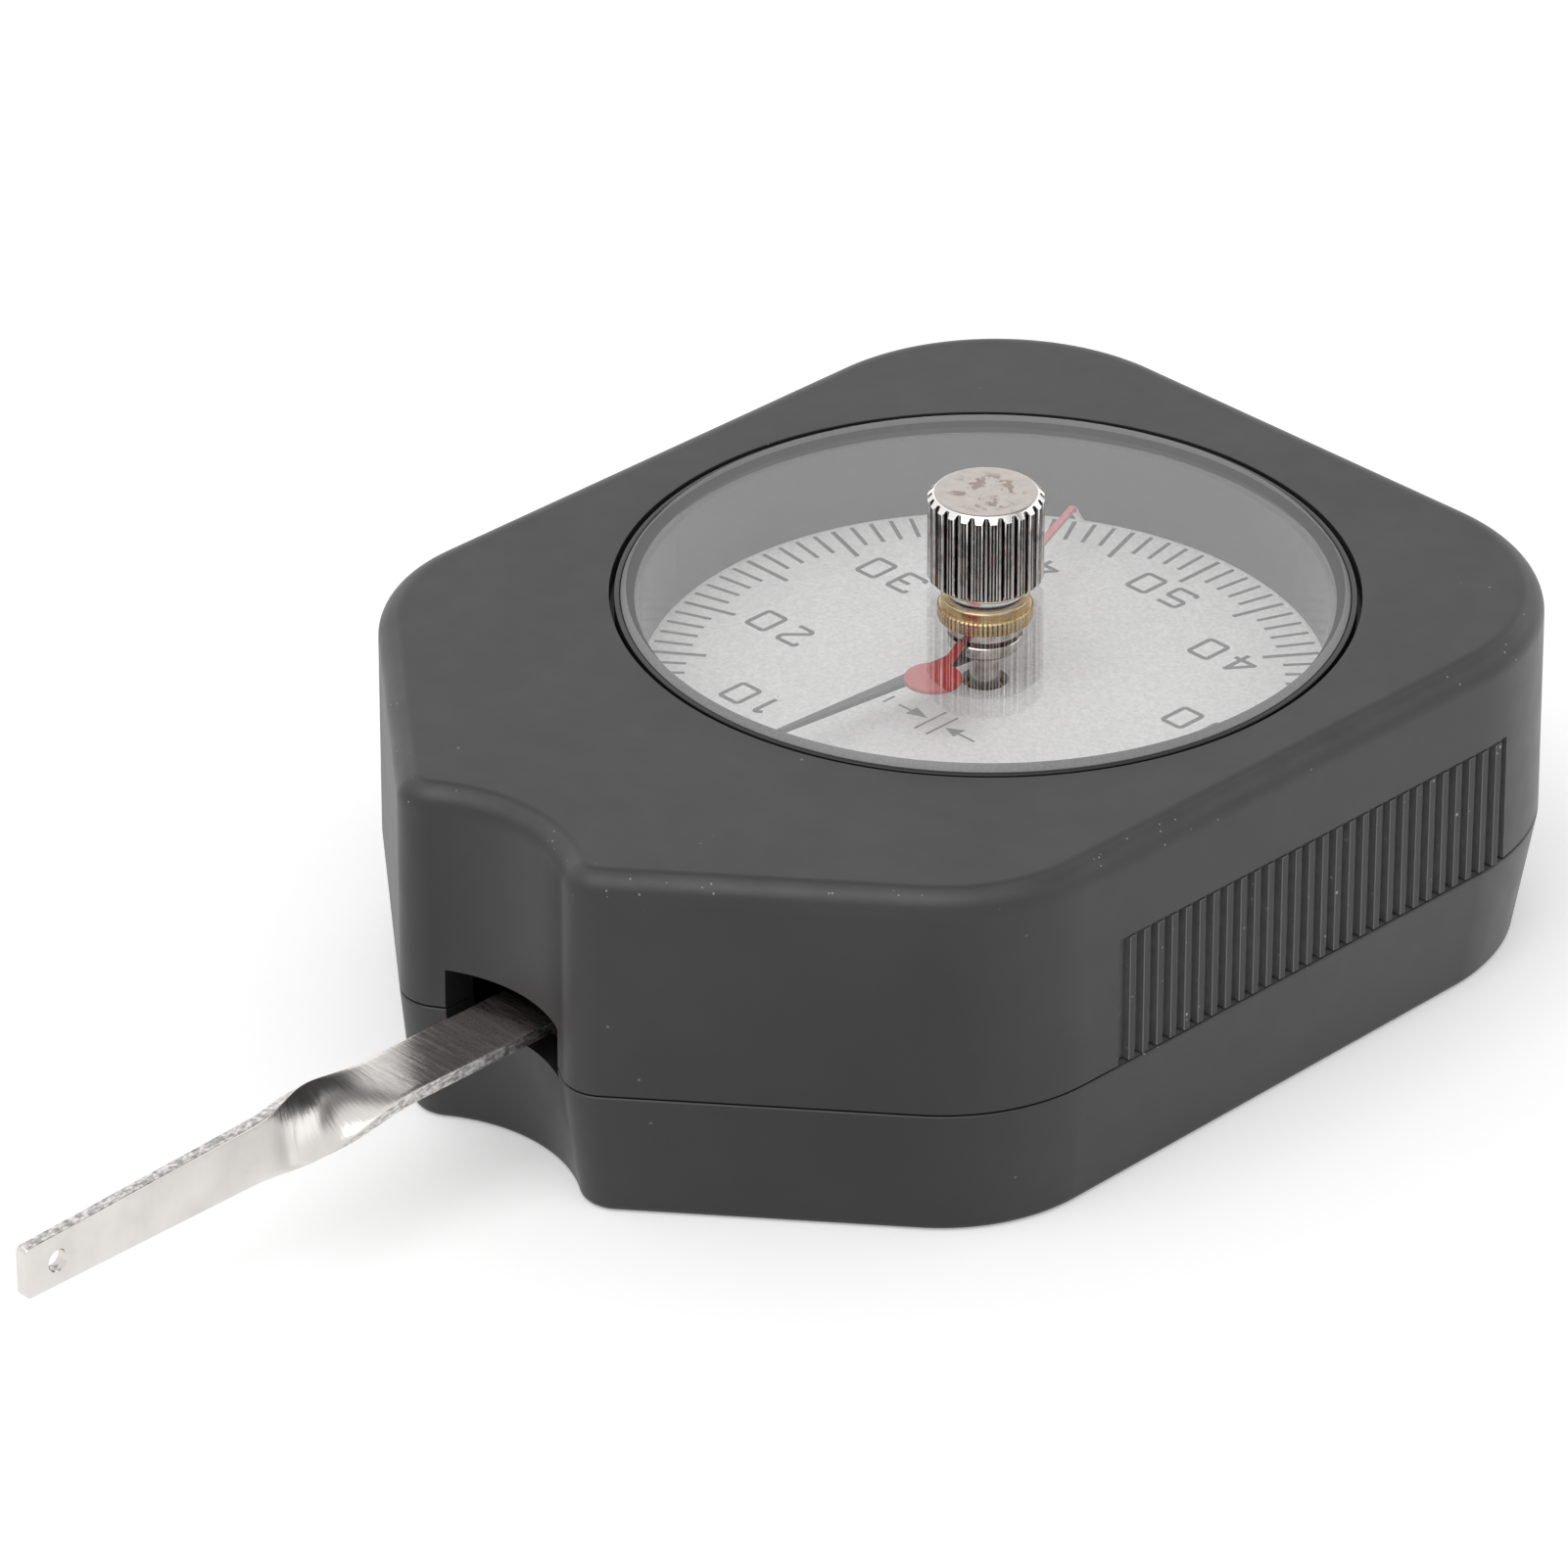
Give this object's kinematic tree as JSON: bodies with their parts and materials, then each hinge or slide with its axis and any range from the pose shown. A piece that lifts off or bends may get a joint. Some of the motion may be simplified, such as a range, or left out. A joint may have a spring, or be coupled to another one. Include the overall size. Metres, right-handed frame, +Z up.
{
  "type": "dial tension gauge",
  "caption": "Hand-held dial tension gauge: a sideways lever in a dark ribbed case turns a pointer over a round scale, and a knob on the glass resets a red drag pointer.",
  "frame": {"origin": "on the flat underside of the lower case, under the dial axis", "axes": "+Z up along the dial axis toward the knob, -Y along the measuring lever toward its tip, +X to the right seen from above with the lever pointing down"},
  "size_m": [0.0556, 0.107, 0.0299],
  "materials": {
    "case_plastic": "moulded, finely textured, dark grey",
    "ring_plastic": "moulded, dark grey",
    "clear_glass": "clear, bevelled edge",
    "dial_metal": "satin silver with a dark grey printed scale",
    "dark_paint": "dark grey paint",
    "red_paint": "red paint",
    "nickel": "bright nickel plate, worn on the top face",
    "lever_nickel": "nickel plate over polished strip",
    "brass": "turned or stamped, plain",
    "screw_steel": "turned, plain",
    "spring_steel": "tempered, dark",
    "fibre": "pressed fibre, black"
  },
  "bodies": {
    "case": {"upper_case": "case_plastic", "lower_case": "case_plastic", "dial_glass": "clear_glass", "case_screw_1": "screw_steel", "case_screw_2": "screw_steel", "case_screw_3": "screw_steel", "case_screw_4": "screw_steel", "friction_washer": "fibre", "knob_bush": "brass", "glass_ring": "ring_plastic", "dial_plate": "dial_metal", "base_plate": "brass", "top_plate": "brass", "pillar_1": "brass", "pillar_2": "brass", "pillar_3": "brass", "pillar_4": "brass", "plate_screw_1": "screw_steel", "plate_screw_2": "screw_steel", "plate_screw_3": "screw_steel", "plate_screw_4": "screw_steel", "base_screw_1": "screw_steel", "base_screw_2": "screw_steel", "base_screw_3": "screw_steel", "dial_foot_1": "brass", "dial_foot_2": "brass", "dial_foot_3": "brass", "stop_pin_1": "screw_steel", "stop_pin_2": "screw_steel", "arbor_lower_bush": "brass", "arbor_upper_bush": "brass", "shaft_lower_bush": "brass", "shaft_upper_bush": "brass", "measuring_spring": "spring_steel", "spring_stud": "brass", "hairspring": "spring_steel", "hair_stud": "brass"},
    "lever": {"lever": "lever_nickel", "toothed_sector": "brass", "lever_rivet_1": "screw_steel", "lever_rivet_2": "screw_steel", "lever_shaft": "screw_steel", "spring_collet": "brass"},
    "arbor": {"arbor": "screw_steel", "pinion": "screw_steel", "hair_collet": "brass", "main_pointer": "dark_paint"},
    "knob": {"knob": "nickel", "drag_hub": "nickel", "drag_cap": "nickel", "drag_pointer": "red_paint"}
  },
  "joints": [
    {"name": "lever_swing", "type": "hinge", "parent": "case", "child": "lever", "pos_m": [0, -0.0315, 0.0094], "axis": [0, 0, 1], "range_deg": [-12.8, 12.8], "stiffness_Nm_per_rad": 0.1},
    {"name": "pointer_turn", "type": "hinge", "parent": "case", "child": "arbor", "pos_m": [0, 0, 0.0094], "axis": [0, 0, 1], "range_deg": [-180, 180]},
    {"name": "knob_turn", "type": "hinge", "parent": "case", "child": "knob", "pos_m": [0, 0, 0.0269], "axis": [0, 0, 1], "continuous": true}
  ],
  "couplings": [
    {"joint": "pointer_turn", "follows": "lever_swing", "ratio": -14}
  ]
}
